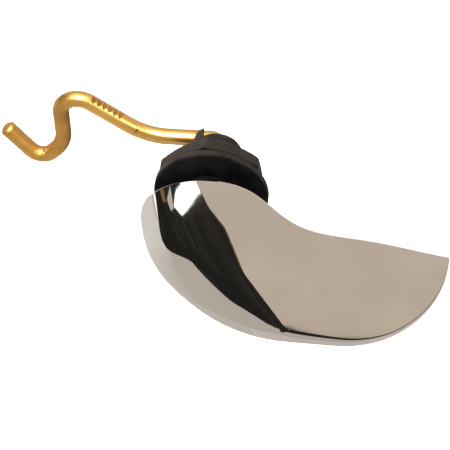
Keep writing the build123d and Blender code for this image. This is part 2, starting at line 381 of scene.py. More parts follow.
class PaddleForm:
    """The paddle's rolled form, drawn in by an inset: outline, top and rim in the paddle's own axes."""

    def __init__(self, sizes, inset):
        self.sizes = sizes
        self.inset = inset
        self.lean = math.tan(sizes.tilt)
        self.back_gap = inset / math.cos(sizes.tilt)
        hub_side = (-sizes.hub_reach + inset, 0)
        belly = (sizes.belly_offset, -sizes.width + inset)
        tip = (sizes.reach - inset, -sizes.tip_back - inset)
        waist = (sizes.waist_offset, -sizes.waist_depth - inset)
        hub_blend = (HUB_BLEND_SHARE * sizes.waist_offset, -inset)
        shoulder = between(hub_side, belly, SHOULDER_SHARE)
        front_mid = between(hub_side, belly, FRONT_SHARE)
        back_mid = between(waist, tip, BACK_SHARE)
        waist_start = between(hub_blend, waist, WAIST_SHARE)
        self.front = clamped_curve([hub_side, shoulder, front_mid, belly], FRONT_ENDS)
        self.back = clamped_curve([tip, back_mid, waist, waist_start, hub_blend], BACK_ENDS)
        turn = np.linspace(0, math.pi / 2, CURVE_SAMPLES)
        across = belly[0] + (tip[0] - belly[0]) * np.sin(turn)
        up = tip[1] - (tip[1] - belly[1]) * np.cos(turn)
        self.round_tip = np.stack([across, up], -1)
        self.rim_line = clamped_curve(
            [
                (0, -sizes.hub_depth),
                (sizes.waist_offset, -sizes.waist_rim),
                (sizes.belly_offset, -sizes.belly_rim),
                (sizes.reach, -sizes.tip_rim),
            ],
            RIM_ENDS,
        )

    def rim(self, x):
        """The height of the rim at some x."""
        return np.interp(x, self.rim_line[:, 0], self.rim_line[:, 1])

    def left(self, q):
        """Where the outline lies on the hub's side at some q."""
        return np.interp(-q, -self.front[:, 1], self.front[:, 0])

    def top(self, x, q):
        """The top's height: flat, then a quarter ellipse that rolls off to the hub's side and front."""
        s = self.sizes
        reached = -q / (s.width + s.roll_overhang)
        flat_end = -s.roll_start + reached * (s.roll_start + s.roll_end)
        width = np.maximum(flat_end - self.left(q), 0) + s.roll_overhang
        past = np.clip((flat_end - x) / width, 0, 1)
        height = -s.roll_steepness * width * (1 - np.sqrt(1 - past**2)) - self.inset
        return np.maximum(height, self.rim(x))

    def top_normal(self, x, q):
        """The way that the top faces."""
        along_x = (self.top(x + SLOPE_STEP, q) - self.top(x - SLOPE_STEP, q)) / (2 * SLOPE_STEP)
        along_q = (self.top(x, q + SLOPE_STEP) - self.top(x, q - SLOPE_STEP)) / (2 * SLOPE_STEP)
        return unit(np.stack([-along_x, -along_q, np.ones_like(along_x)], -1))

    def hub_line(self, x):
        """Where the top meets the hub's back face, which stands square to the spindle."""
        q = np.zeros_like(x)
        for _ in range(HUB_ROUNDS):
            q = self.top(x, q) * self.lean - self.back_gap
        return q

    def lines(self):
        """The top's front and back lines, from hub to tip, and where the second follows the hub."""
        corner = np.array([self.front[0, 0]])
        for _ in range(CORNER_ROUNDS):
            q = self.hub_line(corner)
            corner = self.left(q)
        start = np.array([[corner[0], q[0]]])
        rest = self.front[self.front[:, 1] < q[0]]
        front_line = np.concatenate([start, rest, self.round_tip[1:]])
        x = np.linspace(corner[0], self.round_tip[-1, 0], 2 * CURVE_SAMPLES)
        hub = self.hub_line(x)
        curve = np.interp(x, self.back[::-1, 0], self.back[::-1, 1])
        on_hub = (x < self.back[-1, 0]) | (hub < curve)
        back_line = np.stack([x, np.where(on_hub, hub, curve)], -1)
        return self.round_corner(front_line, back_line, on_hub)

    def round_corner(self, front_line, back_line, on_hub):
        """The same lines and mask, with the hub's outer corner between the two lines rounded."""
        corner = front_line[0]
        starts = []
        for line in (front_line, back_line):
            starts.append(np.argmax(np.linalg.norm(line - line[0], axis=1) > self.sizes.corner_round))
        front_start, back_start = starts
        middle = (front_line[front_start] + 2 * corner + back_line[back_start]) / 4
        part = np.linspace(0, 1, CORNER_ROWS)[:, None]
        rounded = []
        for line, start in ((front_line, front_start), (back_line, back_start)):
            bend = (line[start] + corner) / 2
            arc = (1 - part) ** 2 * middle + 2 * part * (1 - part) * bend + part**2 * line[start]
            rounded.append(np.concatenate([arc, line[start + 1 :]]))
        on_hub = np.concatenate([np.zeros(CORNER_ROWS, bool), on_hub[back_start + 1 :]])
        return *rounded, on_hub

    def walls(self, front_upper, back_upper):
        """Rows down the front and back walls, from their upper lines to the rim."""
        walls = []
        for upper in (front_upper, back_upper):
            lower = upper.copy()
            lower[:, 2] = np.minimum(self.rim(upper[:, 0]), upper[:, 2])
            walls.append(rows_between(upper, lower, WALL_ROWS))
        front_rows, back_rows = walls
        hub_limit = back_rows[..., 2] * self.lean - self.back_gap
        back_rows[..., 1] = np.minimum(back_rows[..., 1], hub_limit)
        back_rows[:, 0] = front_rows[:, 0]
        back_rows[:, -1] = front_rows[:, -1]
        return front_rows, back_rows

    def shell(self, columns, rows, front_rounds, back_rounds):
        """The form's surface as grids of points and normals: walls, rounded edges and top.

        Each edge has two roundings, one up to the waist and one towards the tip."""
        front_line, back_line, on_hub = self.lines()
        shares = np.linspace(0, 1, columns)
        front, front_way = along(front_line, shares)
        back, back_way = along(back_line, shares)
        flat = np.zeros(columns)
        front_wall = np.stack([front_way[:, 1], -front_way[:, 0], flat], -1)
        back_wall = np.stack([-back_way[:, 1], back_way[:, 0], flat], -1)
        hub_side = np.interp(back[:, 0], back_line[:, 0], on_hub.astype(float))[:, None]
        square = np.array([0, math.cos(self.sizes.tilt), -math.sin(self.sizes.tilt)])
        back_wall = unit(hub_side * square + (1 - hub_side) * back_wall)
        room = np.linalg.norm(front - back, axis=1)[:, None]
        edges = []
        thinned = (self.sizes.waist_offset, (self.sizes.belly_offset + self.sizes.reach) / 2)
        for line, wall, rounds in ((front, front_wall, front_rounds), (back, back_wall, back_rounds)):
            radius = np.interp(line[:, 0], thinned, rounds)[:, None]
            edge = np.concatenate([line, self.top(line[:, 0], line[:, 1])[:, None]], 1)
            top = self.top_normal(line[:, 0], line[:, 1])
            points, normals = round_edge(edge, top, wall, np.minimum(radius, EDGE_ROOM * room), EDGE_ROWS)
            points[..., 2] += self.top(points[-1, :, 0], points[-1, :, 1]) - points[-1, :, 2]
            edges.append((points, normals))
        (front_points, front_normals), (back_points, back_normals) = edges
        inside = rows_between(front_points[-1], back_points[-1], rows)
        inside[..., 2] = self.top(inside[..., 0], inside[..., 1])
        inside_normals = self.top_normal(inside[..., 0], inside[..., 1])
        front_normals[-1] = inside_normals[0]
        back_normals[-1] = inside_normals[-1]
        front_rows, back_rows = self.walls(front_points[0], back_points[0])
        return {
            "front_wall": (front_rows, front_wall[None]),
            "front_edge": (front_points, front_normals),
            "top": (inside, inside_normals),
            "back_edge": (back_points, back_normals),
            "back_wall": (back_rows, back_wall[None]),
        }


def paddle_axes(sizes):
    """The paddle's origin and its three axes as rows."""
    c, s = math.cos(sizes.tilt), math.sin(sizes.tilt)
    origin = np.array([0, -sizes.hub_back, sizes.hub_top])
    return origin, np.array([[1, 0, 0], [0, c, s], [0, -s, c]])


def handle_casting(sizes):
    """The paddle: its rolled top and walls, its rim and the hollow under it."""
    origin, axes = paddle_axes(sizes)
    skin = Skin()
    front_edge = (sizes.front_round, sizes.tip_round)
    outer = PaddleForm(sizes, 0).shell(HANDLE_COLUMNS, TOP_ROWS, front_edge, (sizes.back_round,) * 2)
    inner_edge = (sizes.inner_round,) * 2
    inner = PaddleForm(sizes, sizes.wall).shell(HANDLE_COLUMNS, HOLLOW_ROWS, inner_edge, inner_edge)
    for side, shell in ((1, outer), (-1, inner)):
        for points, normals in shell.values():
            skin.patch(origin + points @ axes, side * np.broadcast_to(normals, points.shape) @ axes)
    for wall in ("front_wall", "back_wall"):
        rim = np.stack([outer[wall][0][-1], inner[wall][0][-1]])
        skin.patch(origin + rim @ axes, -axes[2])
    return skin.piece("handle_casting")


# Points round each corner of a turned profile
PROFILE_STEPS = 5


def rounded_profile(corners):
    """A profile of (radius, y, rounding) corners, each of them rounded, as points with their normals."""
    p = np.array([c[:2] for c in corners], float)
    rows = []
    for i, (_, _, rounding) in enumerate(corners):
        before = unit(p[i] - p[i - 1])
        after = unit(p[(i + 1) % len(p)] - p[i])
        out_before = np.array([before[1], -before[0]])
        out_after = np.array([after[1], -after[0]])
        inward = -np.sign(before[0] * after[1] - before[1] * after[0])
        bend = math.acos(np.clip(before @ after, -1, 1))
        reach = rounding * math.tan(bend / 2)
        centre = p[i] - before * reach + inward * rounding * out_before
        for part in np.linspace(0, 1, PROFILE_STEPS):
            out = unit((1 - part) * out_before + part * out_after)
            rows.append((*(centre - inward * rounding * out), *out))
    rows.append(rows[0])
    return np.array(rows)


def turned(corners, segments):
    """The skin of a closed profile that is turned about the spindle's axis."""
    radius, y, outward, ahead = rounded_profile(corners).T[:, :, None]
    turn = np.linspace(0, 2 * math.pi, segments + 1)
    c, s, ring = np.cos(turn), np.sin(turn), np.ones_like(turn)
    skin = Skin()
    points = np.stack([radius * c, y * ring, radius * s], -1)
    skin.patch(points, np.stack([outward * c, ahead * ring, outward * s], -1))
    return skin


SPINDLE_SEGMENTS = 96
SPINDLE_ROUND = 0.4 * MM


def hub_spindle(sizes):
    """The boss inside the hub and the spindle behind it, with the socket that holds the arm."""
    front = -sizes.hub_back - sizes.boss_length
    shoulder = -sizes.hub_back - sizes.wall / 2
    end = sizes.spindle_end
    floor = end - sizes.socket_depth
    boss, spindle = sizes.boss_diameter / 2, sizes.spindle_diameter / 2
    # The arm fills its socket, and on this side reaches no further
    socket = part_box("lift_arm")[1].x
    corners = [
        (0, front, 0),
        (boss, front, SPINDLE_ROUND),
        (boss, shoulder, 0),
        (spindle, shoulder, 0),
        (spindle, end, SPINDLE_ROUND),
        (socket, end, SPINDLE_ROUND / 2),
        (socket, floor, 0),
        (0, floor, 0),
    ]
    skin = turned(corners, SPINDLE_SEGMENTS)
    origin, axes = paddle_axes(sizes)
    form = PaddleForm(sizes, sizes.wall / 2)
    for k, points in enumerate(skin.points):
        own = (points - origin) @ axes.T
        under = own[:, 1] < 0
        own[under, 2] = np.minimum(own[under, 2], form.top(own[under, 0], own[under, 1]))
        skin.points[k] = origin + own @ axes
    return skin.piece("hub_spindle")


class Signal:
    """A socket of a node tree that takes part in Python arithmetic: each operation adds a Math node."""

    def __init__(self, tree, socket):
        self.tree = tree
        self.socket = socket

    def worked_out(self, operation, first, second):
        """The outcome of one Math node."""
        return add_node(self.tree, "ShaderNodeMath", {"operation": operation}, {0: first, 1: second})

    def __add__(self, other):
        return self.worked_out("ADD", self, other)

    def __radd__(self, other):
        return self.worked_out("ADD", other, self)

    def __sub__(self, other):
        return self.worked_out("SUBTRACT", self, other)

    def __rsub__(self, other):
        return self.worked_out("SUBTRACT", other, self)

    def __mul__(self, other):
        return self.worked_out("MULTIPLY", self, other)

    def __rmul__(self, other):
        return self.worked_out("MULTIPLY", other, self)


def add_node(tree, kind, settings=None, sockets=None, output=0):
    """Add a node: its settings first, then its sockets' values or links. Gives one of its outputs."""
    node = tree.nodes.new(kind)
    for key, value in (settings or {}).items():
        if key == "stops":
            elements = node.color_ramp.elements
            while len(elements) < len(value):
                elements.new(0)
            for element, (place, shade) in zip(elements, value):
                element.position = place
                element.color = (*shade, 1)
        else:
            setattr(node, key, value)
    for key, value in (sockets or {}).items():
        if isinstance(value, Signal):
            tree.links.new(value.socket, node.inputs[key])
        else:
            node.inputs[key].default_value = value
    return Signal(tree, node.outputs[output])


def finish(name, constants):
    """A new material: its tree, its surface shader and the object's own coordinates."""
    material = bpy.data.materials.new(name)
    material.use_nodes = True
    tree = material.node_tree
    shader = tree.nodes["Principled BSDF"]
    for key, value in constants.items():
        shader.inputs[key].default_value = value
    place = add_node(tree, "ShaderNodeTexCoord", output="Object")
    return material, tree, shader, place


def noise(tree, place, scale=1, detail=3, roughness=0.5):
    """Plain noise at a scale per unit of its place."""
    sockets = {"Vector": place, "Scale": scale, "Detail": detail, "Roughness": roughness}
    return add_node(tree, "ShaderNodeTexNoise", {}, sockets, "Fac")


def stretched(tree, place, scale):
    """Coordinates stretched differently along each axis."""
    return add_node(tree, "ShaderNodeMapping", {}, {"Vector": place, "Scale": scale})


def coordinate(tree, place, axis):
    """A place's coordinate along one axis."""
    return add_node(tree, "ShaderNodeSeparateXYZ", {}, {"Vector": place}, axis)


def ramp(tree, value, *stops):
    """A colour that runs through stops as a value rises."""
    return add_node(tree, "ShaderNodeValToRGB", {"stops": stops}, {"Fac": value}, "Color")


def risen(tree, value, start, end):
    """A share that rises from 0 to 1 as a value goes from start to end."""
    sockets = {"Value": value, "From Min": start, "From Max": end}
    return add_node(tree, "ShaderNodeMapRange", {}, sockets, "Result")


def blended(tree, share_of_second, first, second):
    """A blend of two colours, which a Mix node takes at sockets 6 and 7 and gives at output 2."""
    sockets = {0: share_of_second, 6: first, 7: second}
    return add_node(tree, "ShaderNodeMix", {"data_type": "RGBA"}, sockets, 2)


def feed(tree, shader, socket, signal):
    """Link a signal to a socket of the surface shader."""
    tree.links.new(signal.socket, shader.inputs[socket])


def bump(tree, shader, height, strength, distance):
    """Small relief on the surface."""
    sockets = {"Height": height, "Strength": strength, "Distance": distance}
    feed(tree, shader, "Normal", add_node(tree, "ShaderNodeBump", {}, sockets, "Normal"))


# Chrome: its haze, its polishing marks and its ripple, per metre
HAZE_SCALE = 55
POLISH_STRETCH = (90, 900, 900)
RIPPLE_SCALE = 160
RIPPLE_STRENGTH = 0.02
RIPPLE_DEPTH = 0.2 * MM
# How bright the plating is where the haze is thin and where it is thick
HAZE_STOPS = ((0.36, 1.03), (0.64, 0.96))
# Its roughness where it is clear, and what haze and polishing marks add
CLEAR_ROUGHNESS = 0.01
HAZE_ROUGHNESS = 0.02
POLISH_ROUGHNESS = 0.02


def chrome_finish(colours):
    """Bright plating with faint polishing marks, a faint ripple and handling haze."""
    material, tree, shader, place = finish("chrome_plating", {"Metallic": 1.0})
    haze = noise(tree, place, HAZE_SCALE, detail=4)
    polish = noise(tree, stretched(tree, place, POLISH_STRETCH))
    tints = [(at, tuple(bright * c for c in colours.chrome)) for at, bright in HAZE_STOPS]
    feed(tree, shader, "Base Color", ramp(tree, haze, *tints))
    roughness = CLEAR_ROUGHNESS + haze * HAZE_ROUGHNESS + polish * POLISH_ROUGHNESS
    feed(tree, shader, "Roughness", roughness)
    ripple = noise(tree, place, RIPPLE_SCALE, detail=2)
    bump(tree, shader, ripple, RIPPLE_STRENGTH, RIPPLE_DEPTH)
    return material


# Mouldings: their blotches and their grain, per metre
BLOTCH_SCALE = 260
GRAIN_SCALE = 2600
GRAIN_DEPTH = 0.1 * MM
MOULDING_IOR = 1.49
# Where blotches set in and are full, how much paler they are and how the roughness varies with them
BLOTCH_EDGE = (0.35, 0.8)
BLOTCH_GAIN = 1.9
BLOTCH_DUST = 0.004
BLOTCH_ROUGHNESS = 0.2
# Each moulding's roughness, the strength of its grain and its shine
MOULDINGS = {
    "black_moulding": (0.5, 0.15, 0.06),
    "washer_rubber": (0.75, 0.25, 0.3),
    "nut_moulding": (0.5, 0.2, 0.12),
}
# Where the bushing turns from its face, darkened with painted shade, to its rim, shank and prongs in
# their unshaded tone, along the spindle
FACE_EDGE = (-2.4 * MM, -1.8 * MM)


def moulded_shade(tree, blotch, base):
    """A moulding's colour, paler in blotches."""
    start, full = BLOTCH_EDGE
    paler = tuple(min(1, BLOTCH_GAIN * c + BLOTCH_DUST) for c in base)
    return ramp(tree, blotch, (start, tuple(base)), (full, paler))


def moulded_finish(name, base, behind=None):
    """A moulding with a fine grain and paler blotches; if a colour is given for behind its face, the
    face's base colour is painted shade.
    """
    roughness, grain, shine = MOULDINGS[name]
    material, tree, shader, place = finish(name, {"IOR": MOULDING_IOR, "Specular IOR Level": shine})
    blotch = noise(tree, place, BLOTCH_SCALE, detail=4)
    shade = moulded_shade(tree, blotch, base)
    # Painted shade: the face keeps the darker base colour, and the moulding behind it takes the unshaded
    # tone
    if behind is not None:
        back = risen(tree, coordinate(tree, place, "Y"), *FACE_EDGE)
        shade = blended(tree, back, shade, moulded_shade(tree, blotch, behind))
    feed(tree, shader, "Base Color", shade)
    least = roughness - BLOTCH_ROUGHNESS / 2
    feed(tree, shader, "Roughness", least + blotch * BLOTCH_ROUGHNESS)
    bump(tree, shader, noise(tree, place, GRAIN_SCALE, detail=2), grain, GRAIN_DEPTH)
    return material


# The rod's own map, and the attribute that says how deep its grooves are cut
ROD_MAP = "along_rod"
GROOVE = "groove"
# Brass: its fine lines, by half a turn round and by diameters along, and its dull blotches, per metre
LINE_STRETCH = (40, 1.5, 1)
LINE_STRENGTH = 0.12
LINE_DEPTH = 0.08 * MM
DULL_SCALE = 130
# Where the hook's dullness sets in and is full, along the rod in diameters
HOOK_EDGE = (10.5, 14)
# How much blotches, lines and the hook darken it, how much painted shade darkens its grooves, and where
# the darkening sets in and is full
DULL_TARNISH = 0.45
LINE_TARNISH = 0.2
HOOK_DARKENING = 0.22
# Painted shade in the notches and tool marks
GROOVE_PAINTED_SHADE = 0.35
TARNISH_AND_SHADE_EDGE = (0.3, 0.75)
# Its roughness where it is bright, and what blotches, lines and the hook add
BRIGHT_ROUGHNESS = 0.18
DULL_ROUGHNESS = 0.14
LINE_ROUGHNESS = 0.12
HOOK_ROUGHNESS = 0.16
# Its lacquer, and how much less of it the hook has
LACQUER_WEIGHT = 0.5
LACQUER_ROUGHNESS = 0.2
LACQUER_WEAR = 0.35


def brass_finish(colours):
    """Drawn brass: fine lines along the rod, darker and duller towards the hook, and darkened in the
    grooves with painted shade.
    """
    constants = {"Metallic": 1.0, "Coat Roughness": LACQUER_ROUGHNESS}
    material, tree, shader, place = finish("drawn_brass", constants)
    on_rod = add_node(tree, "ShaderNodeUVMap", {"uv_map": ROD_MAP}, {}, "UV")
    groove = add_node(tree, "ShaderNodeAttribute", {"attribute_name": GROOVE}, {}, "Fac")
    hook = risen(tree, coordinate(tree, on_rod, "Y"), *HOOK_EDGE)
    lines = noise(tree, stretched(tree, on_rod, LINE_STRETCH), detail=4)
    dull = noise(tree, place, DULL_SCALE, detail=4, roughness=0.6)
    # The grooves' share is painted shade; the blotches, the lines and the hook darken the brass as well
    tarnish_and_shade = dull * DULL_TARNISH + lines * LINE_TARNISH + hook * HOOK_DARKENING + groove * GROOVE_PAINTED_SHADE
    start, full = TARNISH_AND_SHADE_EDGE
    shade = ramp(tree, tarnish_and_shade, (start, tuple(colours.brass)), (full, tuple(colours.brass_dark)))
    feed(tree, shader, "Base Color", shade)
    roughness = BRIGHT_ROUGHNESS + dull * DULL_ROUGHNESS + lines * LINE_ROUGHNESS + hook * HOOK_ROUGHNESS
    feed(tree, shader, "Roughness", roughness)
    feed(tree, shader, "Coat Weight", LACQUER_WEIGHT - hook * LACQUER_WEAR)
    bump(tree, shader, lines, LINE_STRENGTH, LINE_DEPTH)
    return material


def dress(piece, body, material):
    """Give a piece its finish and the body that it moves with."""
    piece.data.materials.clear()
    piece.data.materials.append(material)
    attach(piece, body)
    return piece


def node_tree(name, inputs):
    """A Geometry Nodes tree with named inputs, and a signal from each of them."""
    tree = bpy.data.node_groups.new(name, "GeometryNodeTree")
    tree.interface.new_socket("Geometry", in_out="INPUT", socket_type="NodeSocketGeometry")
    for label, kind in inputs.items():
        tree.interface.new_socket(label, in_out="INPUT", socket_type=kind)
    tree.interface.new_socket("Geometry", in_out="OUTPUT", socket_type="NodeSocketGeometry")
    start = tree.nodes.new("NodeGroupInput")
    given = {socket.name: Signal(tree, socket) for socket in start.outputs if socket.name}
    return tree, given


def round_bar(tree, path, radius, sides, material):
    """End a tree with a round bar along a path, as plain geometry in its material."""
    sockets = {"Resolution": sides, "Radius": radius}
    section = add_node(tree, "GeometryNodeCurvePrimitiveCircle", {"mode": "RADIUS"}, sockets)
    sockets = {"Curve": path, "Profile Curve": section, "Fill Caps": True}
    bar = add_node(tree, "GeometryNodeCurveToMesh", {}, sockets)
    smooth = add_node(tree, "GeometryNodeSetShadeSmooth", {}, {0: bar})
    real = add_node(tree, "GeometryNodeRealizeInstances", {}, {0: smooth})
    coated = add_node(tree, "GeometryNodeSetMaterial", {}, {0: real, "Material": material})
    end = tree.nodes.new("NodeGroupOutput")
    tree.links.new(coated.socket, end.inputs[0])


def settled(name, seed):
    """What an object's modifiers make of it, as a plain mesh piece in its stead."""
    evaluated = seed.evaluated_get(bpy.context.evaluated_depsgraph_get())
    mesh = bpy.data.meshes.new_from_object(evaluated)
    seed.modifiers.clear()
    bpy.data.objects.remove(seed)
    mesh.name = name
    return linked(name, mesh)


def grown(name, seed_mesh, tree, values):
    """Run a tree on a mesh and keep the result as a plain mesh piece."""
    seed = linked(name + "_seed", seed_mesh)
    modifier = seed.modifiers.new("grow", "NODES")
    modifier.node_group = tree
    for item in tree.interface.items_tree:
        if item.in_out == "INPUT" and item.name in values:
            modifier[item.identifier] = values[item.name]
    return settled(name, seed)


def rod_tree():
    """A round rod along a path."""
    inputs = {"Radius": "NodeSocketFloat", "Sides": "NodeSocketInt", "Material": "NodeSocketMaterial"}
    tree, given = node_tree("rod_along_path", inputs)
    path = add_node(tree, "GeometryNodeMeshToCurve", {}, {0: given["Geometry"]})
    round_bar(tree, path, given["Radius"], given["Sides"], given["Material"])
    return tree


def line_mesh(name, points):
    """A chain of edges through points."""
    mesh = bpy.data.meshes.new(name)
    mesh.from_pydata([tuple(p) for p in points], [(i, i + 1) for i in range(len(points) - 1)], [])
    return mesh


ROD_SIDES = 56
# Distance between the rod's rings, and between those on the rise that holds the notches
RING_STEP = 0.35 * MM
FINE_STEP = 0.1 * MM
# Rings in the spindle's socket and round the bend behind it
SOCKET_RINGS = 12
SPINDLE_BEND_RINGS = 24
# Edges of the rod that turn more than this stay sharp
SHARP_ANGLE = math.radians(32)


def arm_route(sizes):
    """The middle line of the arm: its rings' points, and the start and direction of the rise."""
    bends = (
        (sizes.level_run, sizes.knee_radius, sizes.knee_turn, RING_STEP),
        (sizes.rise_run, sizes.hump_radius, -sizes.hump_turn, FINE_STEP),
        (sizes.fall_run, sizes.sway_radius, sizes.sway_turn, RING_STEP),
        (sizes.sway_run, sizes.hook_radius, sizes.hook_turn, RING_STEP),
        (sizes.hook_run, 0, 0, RING_STEP),
    )
    socket_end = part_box("lift_arm")[0].y
    bend_start = sizes.plane - sizes.spindle_bend
    points = [(0, y, 0) for y in np.linspace(socket_end, bend_start, SOCKET_RINGS)]
    for turn in np.linspace(0, math.pi / 2, SPINDLE_BEND_RINGS)[1:]:
        x = -sizes.spindle_bend * (1 - math.cos(turn))
        points.append((x, bend_start + sizes.spindle_bend * math.sin(turn), 0))
    place = np.array([-sizes.spindle_bend, 0.0])
    heading = 0.0
    rise = None
    for run, radius, turn, step in bends:
        way = np.array([-math.cos(heading), math.sin(heading)])
        # The rise is the run with fine rings
        if step == FINE_STEP:
            rise = (np.array([place[0], sizes.plane, place[1]]), np.array([way[0], 0, way[1]]))
        for part in np.linspace(0, run, max(2, round(run / step)) + 1)[1:]:
            points.append((place[0] + part * way[0], sizes.plane, place[1] + part * way[1]))
        place = place + run * way
        if not radius:
            break
        side = math.copysign(1, turn)
        up = np.array([math.sin(heading), math.cos(heading)]) * side
        centre = place + radius * up
        steps = max(3, round(abs(turn) * radius / RING_STEP))
        for part in np.linspace(0, turn, steps + 1)[1:]:
            bent = heading + part
            away = np.array([math.sin(bent), math.cos(bent)]) * side
            points.append((centre[0] - radius * away[0], sizes.plane, centre[1] - radius * away[1]))
        heading += turn
        place = np.array([points[-1][0], points[-1][2]])
    dip = Matrix.Rotation(-sizes.dip, 3, "Y")
    turned_points = np.array([dip @ Vector(p) for p in points])
    return turned_points, tuple(np.array(dip @ Vector(v)) for v in rise)


# The bending tool's marks: how far before the rise and the hook's run, and on which side of the rod
KNEE_MARK = 3 * MM
KNEE_MARK_SIDE = (0, -0.79, 0.61)
HOOK_MARKS = (6.6 * MM, 8.2 * MM)
HOOK_MARK_SIDE = (-0.2, -0.36, 0.91)
MARK_WIDTH = 0.6 * MM
MARK_DEPTH = 0.3 * MM


def cut_groove(rings, foot, way, outward, radius, width, depth):
    """Cut a round groove across a rod's rings, and give how deep each point was cut, as a share."""
    half = width / 2
    off = rings - foot
    ahead = off @ way
    floor = radius + half - depth - np.sqrt(np.clip(half**2 - ahead**2, 0, None))
    near = (np.abs(ahead) < half) & (np.linalg.norm(off, axis=-1) < 2 * radius)
    over = np.where(near, np.clip(off @ outward - floor, 0, None), 0)
    rings -= over[..., None] * outward
    return over / depth


def cut_grooves(sizes, rings, route, place, rise):
    """Cut the rise's notches and the tool marks, and give how deep each point was cut, as a share."""
    rise_start, rise_way = rise
    radius = sizes.diameter / 2
    outward = np.array([rise_way[2], 0, -rise_way[0]])
    cut = np.zeros(rings.shape[:2])
    for index in range(sizes.notch_count):
        foot = rise_start + rise_way * (sizes.notch_offset + index * sizes.notch_pitch)
        cut += cut_groove(rings, foot, rise_way, outward, radius, sizes.notch_width, sizes.notch_depth)
    knee_end = place[np.argmin(np.linalg.norm(route - rise_start, axis=1))]
    hook_start = place[-1] - sizes.hook_run
    marks = [(knee_end - KNEE_MARK, KNEE_MARK_SIDE)]
    marks += [(hook_start - back, HOOK_MARK_SIDE) for back in HOOK_MARKS]
    for distance, side in marks:
        ring = np.searchsorted(place, distance)
        way = unit(route[ring + 1] - route[ring - 1])
        across = unit(np.array(side) - way * (way @ np.array(side)))
        cut += cut_groove(rings, route[ring], way, across, radius, MARK_WIDTH, MARK_DEPTH)
    return np.clip(cut, 0, 1)


def map_rod(mesh, place, diameter):
    """Lay the rod's own map: half turns round it from the far side, and diameters along it."""
    layer = mesh.uv_layers.new(name=ROD_MAP)
    loop_vertex = np.empty(len(mesh.loops), np.int64)
    mesh.loops.foreach_get("vertex_index", loop_vertex)
    ring, side = np.divmod(loop_vertex, ROD_SIDES)
    around = np.abs(2 * side / ROD_SIDES - 1)
    flat = np.stack([around, place[ring] / diameter], -1).astype(np.float32)
    layer.data.foreach_set("uv", flat.ravel())


def lift_arm(sizes, material):
    """The brass rod along its route, with the chamfer on its end, its notches and its tool marks."""
    route, rise = arm_route(sizes)
    radius = sizes.diameter / 2
    values = {"Radius": radius, "Sides": ROD_SIDES, "Material": material}
    piece = grown("brass_arm", line_mesh("arm_route", route), rod_tree(), values)
    mesh = piece.data
    points = np.empty(len(mesh.vertices) * 3)
    mesh.vertices.foreach_get("co", points)
    rings = points.reshape(len(route), ROD_SIDES, 3)
    place = distances(route)
    to_end = place[-1] - place
    shrink = np.clip(sizes.end_chamfer - to_end, 0, None) / radius
    rings += (route[:, None] - rings) * shrink[:, None, None]
    cut = cut_grooves(sizes, rings, route, place, rise)
    mesh.vertices.foreach_set("co", rings.ravel())
    mesh.attributes.new(GROOVE, "FLOAT", "POINT").data.foreach_set("value", cut.ravel())
    map_rod(mesh, place, sizes.diameter)
    mesh.set_sharp_from_angle(angle=SHARP_ANGLE)
    mesh.update()
    return piece


BUSHING_SEGMENTS = 180
# Small roundings of the bushing: of its bore and shank, and of its collar and the flange's back
SHANK_ROUND = 0.2 * MM
COLLAR_ROUND = 0.3 * MM


def bushing_body(sizes):
    """The bushing's turned form: thrust collar, flange, shank and bore."""
    flange, collar, bore = sizes.flange_diameter / 2, sizes.collar_diameter / 2, sizes.bore / 2
    shank = sizes.shank_diameter / 2 - sizes.thread_depth / 2
    end = sizes.shank_length
    corners = [
        (bore, -sizes.collar_front, SHANK_ROUND),
        (collar, -sizes.collar_front, COLLAR_ROUND),
        (collar, -sizes.flange_thickness, COLLAR_ROUND),
        (flange, -sizes.flange_thickness, sizes.flange_round),
        (flange, 0, COLLAR_ROUND),
        (shank, 0, SHANK_ROUND),
        (shank, end - sizes.lead_in, SHANK_ROUND),
        (shank - sizes.lead_in / 2, end, SHANK_ROUND),
        (bore, end, SHANK_ROUND),
    ]
    return turned(corners, BUSHING_SEGMENTS).piece("bushing_body")


# Points along a prong's round outer side, and the rounding of its edges
PRONG_STEPS = 14
PRONG_ROUND = 0.35 * MM
PRONG_ROUND_STEPS = 3
PRONG_EDGE_ANGLE = math.radians(35)


def stop_prongs(bushing, arm):
    """The shank's two stop prongs: one above the arm, and one that it meets at full travel."""
    rod, shank = arm.diameter / 2, bushing.shank_diameter / 2
    face = math.sqrt(rod**2 - (rod - bushing.prong_overlap) ** 2) + bushing.stop_clearance
    left = -math.sqrt(shank**2 - face**2)
    right = left + bushing.prong_width
    root = bushing.shank_length - 2 * bushing.lead_in
    end = arm.plane - rod + bushing.prong_overlap
    start = math.atan2(face, left)
    stop = math.atan2(math.sqrt(shank**2 - right**2), right)
    outline = [(right, face)]
    for turn in np.linspace(stop, start, PRONG_STEPS):
        outline.append((shank * math.cos(turn), shank * math.sin(turn)))
    shape = bmesh.new()
    for turn, flip in ((0, 1), (-bushing.travel, -1)):
        spin = Matrix.Rotation(turn, 3, "Y")
        ring = [shape.verts.new(spin @ Vector((x, root, flip * z))) for x, z in outline]
        base = shape.faces.new(ring)
        grown_up = bmesh.ops.extrude_face_region(shape, geom=[base])
        raised = [v for v in grown_up["geom"] if isinstance(v, bmesh.types.BMVert)]
        bmesh.ops.translate(shape, verts=raised, vec=(0, end - root, 0))
    bmesh.ops.recalc_face_normals(shape, faces=shape.faces)
    mesh = bpy.data.meshes.new("stop_prongs_seed")
    shape.to_mesh(mesh)
    shape.free()
    mesh.shade_smooth()
    seed = linked("stop_prongs_seed", mesh)
    bevel = seed.modifiers.new("soften", "BEVEL")
    bevel.width = PRONG_ROUND
    bevel.segments = PRONG_ROUND_STEPS
    bevel.limit_method = "ANGLE"
    bevel.angle_limit = PRONG_EDGE_ANGLE
    seed.modifiers.new("shade", "WEIGHTED_NORMAL")
    return settled("stop_prongs", seed)


# The thread: its steps in a turn, the sides of its ridge and its distance from the shank's ends
THREAD_STEPS = 96
THREAD_SIDES = 10
THREAD_MARGIN = 0.6 * MM


